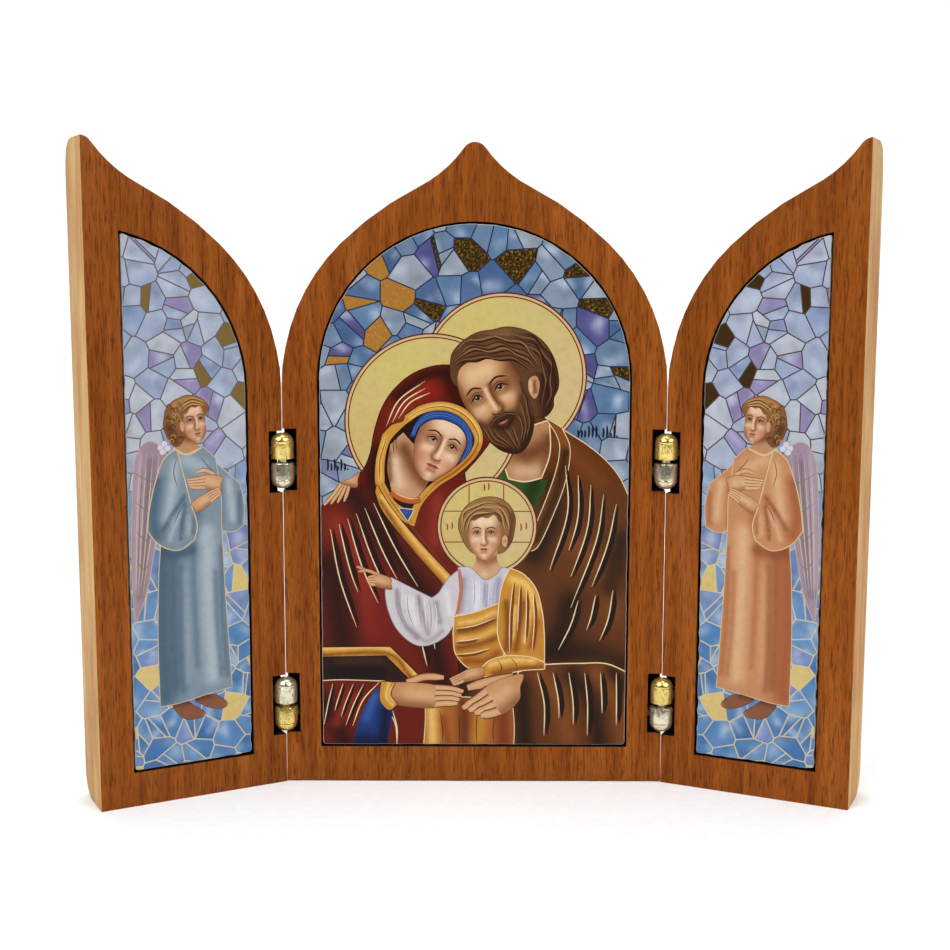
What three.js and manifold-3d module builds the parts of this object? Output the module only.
// A small folding wooden triptych: an ogee-arched middle board and two half-arch wings on barrel hinges.
// Millimetres, +Z up, the picture side facing -Y. The origin is at the middle of the footprint.
import * as THREE from "three";
import { mergeVertices } from "three/addons/utils/BufferGeometryUtils.js";
import Module from "manifold-3d";

const wasm = await Module();
wasm.setup();

// ---- Driving dimensions -------------------------------------------------------------------------
const HINGE_X = 47.5; // from the middle line to each hinge axis
const JOINT_GAP = 0.15; // from a hinge axis to each board's edge, and to each board's front face
const HALF_WIDTH = HINGE_X - JOINT_GAP; // half of the middle board
const THICKNESS = 15;
const ROUND_OVER = 6; // radius along the outer arris of every board
const WING_DROP = 0.5; // the wings hang this much lower than the middle board, so the triptych stands on them
const LEFT_SWING = THREE.MathUtils.degToRad(28.2); // from opened flat
const RIGHT_SWING = THREE.MathUtils.degToRad(24.9);

// The board's outline: a vertical side, two convex shoulder arcs, a concave flank and a rounded finial.
const APEX = 159.4;
const SHOULDER = { spring: 100.5, radius: 48.3, turn: THREE.MathUtils.degToRad(46) };
const HAUNCH_RADIUS = 77.8;
const FLANK_RADIUS = 30.3;
const FINIAL_RADIUS = 3.15;

const WINDOW_HALF_WIDTH = 38.8;
const RECESS_DEPTH = 2.2;
const CENTRE_WINDOW = { sill: 8.7, spring: 101.7, left: -WINDOW_HALF_WIDTH };
const WING_WINDOW = { sill: 8.4, spring: 100.3, left: 8.25 };
const PLATE = { gap: 0.45, setback: 0.3, thickness: 1.6 };

const HINGE_HEIGHTS = { upper: 82, lower: 20 }; // above the middle board's foot
const POCKET = { width: HINGE_X - 44, depth: 3.6, height: 15.4, rise: 0.2 };
const BARREL = { radius: 2.85, half: 7, gap: 1, dome: 2.4, chamfer: 0.25 };
const PIN = { radius: 1.2, clearance: 0.1, reach: 3.5 };
const PEG = { radius: 1.5, clearance: 0.25, length: 10.5 };
const PEG_RISE = (BARREL.half - BARREL.dome + BARREL.gap / 2) / 2; // the middle of a knuckle's straight part

const ARC_STEP = THREE.MathUtils.degToRad(6); // the longest turn between two outline points
const ROUND_STEPS = 5;
const DOME_STEPS = 6;
const ROD_SIDES = 16;
const BARREL_SIDES = 24;

// ---- Materials ----------------------------------------------------------------------------------
const wood = new THREE.MeshStandardMaterial({ color: 0x9b5a2a, roughness: 0.55, metalness: 0 });
const gilt = new THREE.MeshStandardMaterial({ color: 0x8f8a78, roughness: 0.3, metalness: 0.3 });
const brass = new THREE.MeshStandardMaterial({ color: 0xc9b06a, roughness: 0.25, metalness: 1 });

// ---- Solids -------------------------------------------------------------------------------------
function solid(geometry) {
  const bare = geometry.clone();
  bare.deleteAttribute("normal");
  bare.deleteAttribute("uv");
  const merged = mergeVertices(bare, 1e-4);
  return new wasm.Manifold(
    new wasm.Mesh({
      numProp: 3,
      vertProperties: merged.attributes.position.array,
      triVerts: new Uint32Array(merged.index.array),
    }),
  );
}

function namedMesh(name, made, material) {
  const { vertProperties, triVerts } = made.getMesh();
  const geometry = new THREE.BufferGeometry();
  geometry.setAttribute("position", new THREE.BufferAttribute(vertProperties, 3));
  geometry.setIndex(new THREE.BufferAttribute(triVerts, 1));
  geometry.computeVertexNormals();
  const mesh = new THREE.Mesh(geometry, material);
  mesh.name = name;
  return mesh;
}

// A closed solid through rings of equal length, each { y, points } with points anticlockwise from the front.
function loft(rings) {
  const count = rings[0].points.length;
  const positions = rings.flatMap(({ y, points }) => points.flatMap((p) => [p.x, y, p.y]));
  const index = [];
  for (let ring = 0; ring + 1 < rings.length; ring++) {
    for (let i = 0; i < count; i++) {
      const a = ring * count + i;
      const b = ring * count + ((i + 1) % count);
      index.push(a, a + count, b + count, a, b + count, b);
    }
  }
  const front = THREE.ShapeUtils.triangulateShape(rings[0].points, []);
  const back = THREE.ShapeUtils.triangulateShape(rings.at(-1).points, []);
  const last = (rings.length - 1) * count;
  front.forEach(([a, b, c]) => index.push(a, b, c));
  back.forEach(([a, b, c]) => index.push(last + a, last + c, last + b));
  const geometry = new THREE.BufferGeometry();
  geometry.setAttribute("position", new THREE.Float32BufferAttribute(positions, 3));
  geometry.setIndex(index);
  return solid(geometry);
}

function prism(points, yFront, yBack) {
  return loft([
    { y: yFront, points },
    { y: yBack, points },
  ]);
}

function box(size, centre) {
  return solid(new THREE.BoxGeometry(...size).translate(...centre));
}

// A rod that starts at a point and leaves it level, at the given angle from +X.
function levelRod(radius, length, angle, start) {
  const rod = new THREE.CylinderGeometry(radius, radius, length, ROD_SIDES).translate(0, length / 2, 0);
  return solid(rod.rotateZ(angle - Math.PI / 2).translate(...start));
}

function uprightRod(radius, bottom, top) {
  const rod = new THREE.CylinderGeometry(radius, radius, top - bottom, ROD_SIDES).rotateX(Math.PI / 2);
  return solid(rod.translate(0, 0, (top + bottom) / 2));
}

// ---- Outlines, as lists of (x, z) ---------------------------------------------------------------
function mirrored(points) {
  return points.map((p) => new THREE.Vector2(-p.x, p.y)).reverse();
}

// The points of an arc after its first one.
function arc(centre, radius, from, to, steps = Math.ceil(Math.abs(to - from) / ARC_STEP - 1e-6)) {
  return Array.from({ length: steps }, (_, i) => {
    const angle = from + ((to - from) * (i + 1)) / steps;
    return new THREE.Vector2(centre.x + radius * Math.cos(angle), centre.y + radius * Math.sin(angle));
  });
}

// The centres of the outline's arcs, each arc tangent to the next.
function archCentres() {
  const shoulder = new THREE.Vector2(HALF_WIDTH - SHOULDER.radius, SHOULDER.spring);
  const turn = new THREE.Vector2(Math.cos(SHOULDER.turn), Math.sin(SHOULDER.turn));
  const haunch = shoulder.clone().addScaledVector(turn, SHOULDER.radius - HAUNCH_RADIUS);
  const finial = new THREE.Vector2(0, APEX - FINIAL_RADIUS);
  const toHaunch = HAUNCH_RADIUS + FLANK_RADIUS;
  const toFinial = FINIAL_RADIUS + FLANK_RADIUS;
  const line = finial.clone().sub(haunch);
  const along = (toHaunch ** 2 - toFinial ** 2 + line.lengthSq()) / (2 * line.length());
  const across = Math.sqrt(toHaunch ** 2 - along ** 2);
  line.normalize();
  const flank = haunch.clone().addScaledVector(line, along);
  flank.add(new THREE.Vector2(line.y, -line.x).multiplyScalar(across));
  return { shoulder, haunch, flank, finial };
}

// The right half of the board's outline, moved inwards by inset: from the foot's corner to the apex.
// Every inset gives the same number of points, so the halves can be lofted.
function halfArch(inset) {
  const { shoulder, haunch, flank, finial } = archCentres();
  const haunchEnd = flank.clone().sub(haunch).angle();
  const flankStart = haunchEnd + Math.PI;
  const flankEnd = finial.clone().sub(flank).angle();
  const points = [
    new THREE.Vector2(HALF_WIDTH - inset, inset),
    new THREE.Vector2(HALF_WIDTH - inset, SHOULDER.spring),
    ...arc(shoulder, SHOULDER.radius - inset, 0, SHOULDER.turn),
    ...arc(haunch, HAUNCH_RADIUS - inset, SHOULDER.turn, haunchEnd),
  ];
  const flankRadius = FLANK_RADIUS + inset;
  const tipRadius = FINIAL_RADIUS - inset;
  const head = [
    ...arc(flank, flankRadius, flankStart, flankEnd),
    ...arc(finial, Math.max(tipRadius, 0), flankEnd - Math.PI, Math.PI / 2),
  ];
  if (tipRadius > 0) return [...points, ...head];
  // Past the finial's own radius, the two flanks meet in a point on the middle line.
  const meet = Math.PI + Math.acos(flank.x / flankRadius);
  return [...points, ...arc(flank, flankRadius, flankStart, meet, head.length)];
}

function archOutline(inset) {
  const right = halfArch(inset);
  return [...right, ...mirrored(right.slice(0, -1))];
}

// A window with a round head; one that starts right of the middle is cut off there by a straight side.
function windowOutline({ sill, spring, left }, inset) {
  const radius = WINDOW_HALF_WIDTH - inset;
  const centre = new THREE.Vector2(0, spring);
  const last = Math.acos((left + inset) / radius);
  return [
    new THREE.Vector2(left + inset, sill + inset),
    new THREE.Vector2(radius, sill + inset),
    new THREE.Vector2(radius, spring),
    ...arc(centre, radius, 0, last),
  ];
}

// ---- Boards and plates --------------------------------------------------------------------------
function archBoard() {
  const rings = [{ y: 0, points: archOutline(0) }];
  for (let i = 0; i <= ROUND_STEPS; i++) {
    const turn = ((Math.PI / 2) * i) / ROUND_STEPS;
    rings.push({
      y: THICKNESS - ROUND_OVER * (1 - Math.sin(turn)),
      points: archOutline(ROUND_OVER * (1 - Math.cos(turn))),
    });
  }
  return loft(rings);
}

// A peg leaves its hinge axis backwards and into the board; edge is the side (-1 left, 1 right) of the
// board that the hinge is on.
function pegAngle(edge) {
  return Math.PI / 2 + (edge * Math.PI) / 4;
}

// The pocket and the peg hole of one hinge, at the board's edge.
function hingeCut(edge, height, pegHeight) {
  const reach = 2 * POCKET.width; // to well outside the board
  const pocket = box(
    [reach, 2 * POCKET.depth, POCKET.height],
    [edge * (HINGE_X - POCKET.width + reach / 2), 0, height + POCKET.rise],
  );
  const start = [edge * HINGE_X, -JOINT_GAP, pegHeight];
  return pocket.add(levelRod(PEG.radius + PEG.clearance, PEG.length + PEG.clearance, pegAngle(edge), start));
}

function centreBoard() {
  let board = archBoard().subtract(prism(windowOutline(CENTRE_WINDOW, 0), -1, RECESS_DEPTH));
  for (const edge of [-1, 1]) {
    for (const height of Object.values(HINGE_HEIGHTS)) {
      board = board.subtract(hingeCut(edge, height, height - PEG_RISE));
    }
  }
  return board;
}

// A wing is half of the arch, the half on the side of its hinged edge, so that it closes over the other half.
function wingBoard(edge) {
  const half = box([2 * HINGE_X, 4 * THICKNESS, 3 * APEX], [edge * (HINGE_X + JOINT_GAP), 0, 0]);
  let board = archBoard().intersect(half);
  board = board.subtract(prism(wingWindow(edge, 0), -1, RECESS_DEPTH));
  for (const height of Object.values(HINGE_HEIGHTS)) {
    board = board.subtract(hingeCut(edge, height, height + WING_DROP + PEG_RISE));
  }
  return board;
}

function wingWindow(edge, inset) {
  const outline = windowOutline(WING_WINDOW, inset);
  return edge > 0 ? outline : mirrored(outline);
}

function plate(outline) {
  return prism(outline, PLATE.setback, PLATE.setback + PLATE.thickness);
}

// ---- Hinges, about their own axis, with the gap between the two knuckles at height 0 ------------
// A knuckle with its flat end at the gap and its domed end up, or down when turned over.
function knuckle(turnedOver) {
  const foot = BARREL.gap / 2;
  const profile = [
    [0, foot],
    [BARREL.radius - BARREL.chamfer, foot],
    [BARREL.radius, foot + BARREL.chamfer],
  ];
  for (let i = 0; i < DOME_STEPS; i++) {
    const turn = ((Math.PI / 2) * i) / DOME_STEPS;
    const height = BARREL.half - BARREL.dome * (1 - Math.sin(turn));
    profile.push([BARREL.radius * Math.cos(turn), height]);
  }
  profile.push([0, BARREL.half]);
  const points = profile.map(([r, h]) => new THREE.Vector2(r, h));
  const lathe = new THREE.LatheGeometry(points, BARREL_SIDES);
  return solid(lathe.rotateX(turnedOver ? -Math.PI / 2 : Math.PI / 2));
}

// The upper knuckle belongs to the wing, and has a bore for the pin.
function wingKnuckle(edge) {
  const shank = levelRod(PEG.radius, PEG.length, pegAngle(edge), [0, 0, PEG_RISE]);
  const bore = uprightRod(PIN.radius + PIN.clearance, 0, BARREL.gap / 2 + PIN.reach + PIN.clearance);
  return knuckle(false).add(shank).subtract(bore);
}

// The lower knuckle belongs to the middle board, and carries the pin.
function centreKnuckle(edge) {
  const shank = levelRod(PEG.radius, PEG.length, pegAngle(edge), [0, 0, -PEG_RISE]);
  const pin = uprightRod(PIN.radius, -PEG_RISE, BARREL.gap / 2 + PIN.reach);
  return knuckle(true).add(shank).add(pin);
}

// ---- The triptych -------------------------------------------------------------------------------
const footprintMiddle = (THICKNESS - HALF_WIDTH * Math.sin(LEFT_SWING)) / 2;
const triptych = new THREE.Group();
triptych.position.y = -footprintMiddle;

const centre = new THREE.Group();
centre.position.z = WING_DROP;
centre.add(namedMesh("centre_panel", centreBoard(), wood));
centre.add(namedMesh("centre_picture", plate(windowOutline(CENTRE_WINDOW, PLATE.gap)), gilt));
triptych.add(centre);

// side is -1 for the left wing and 1 for the right one. The wing's hinged edge is on its other side.
function addWing(label, side, swing) {
  const edge = -side;
  const hinge = new THREE.Group();
  hinge.position.set(side * HINGE_X, -JOINT_GAP, 0);
  hinge.rotation.z = -side * swing;
  triptych.add(hinge);

  const board = namedMesh(label + "_wing_panel", wingBoard(edge), wood);
  const picture = namedMesh(label + "_picture", plate(wingWindow(edge, PLATE.gap)), gilt);
  board.position.set(side * HINGE_X, JOINT_GAP, 0);
  picture.position.copy(board.position);
  hinge.add(board, picture);

  for (const [level, height] of Object.entries(HINGE_HEIGHTS)) {
    const name = label + "_" + level + "_hinge_";
    const upper = namedMesh(name + "wing_knuckle", wingKnuckle(edge), brass);
    upper.position.z = height + WING_DROP;
    hinge.add(upper);
    const lower = namedMesh(name + "centre_knuckle", centreKnuckle(side), brass);
    lower.position.set(side * HINGE_X, -JOINT_GAP, height);
    centre.add(lower);
  }
}
addWing("left", -1, LEFT_SWING);
addWing("right", 1, RIGHT_SWING);

export default triptych;
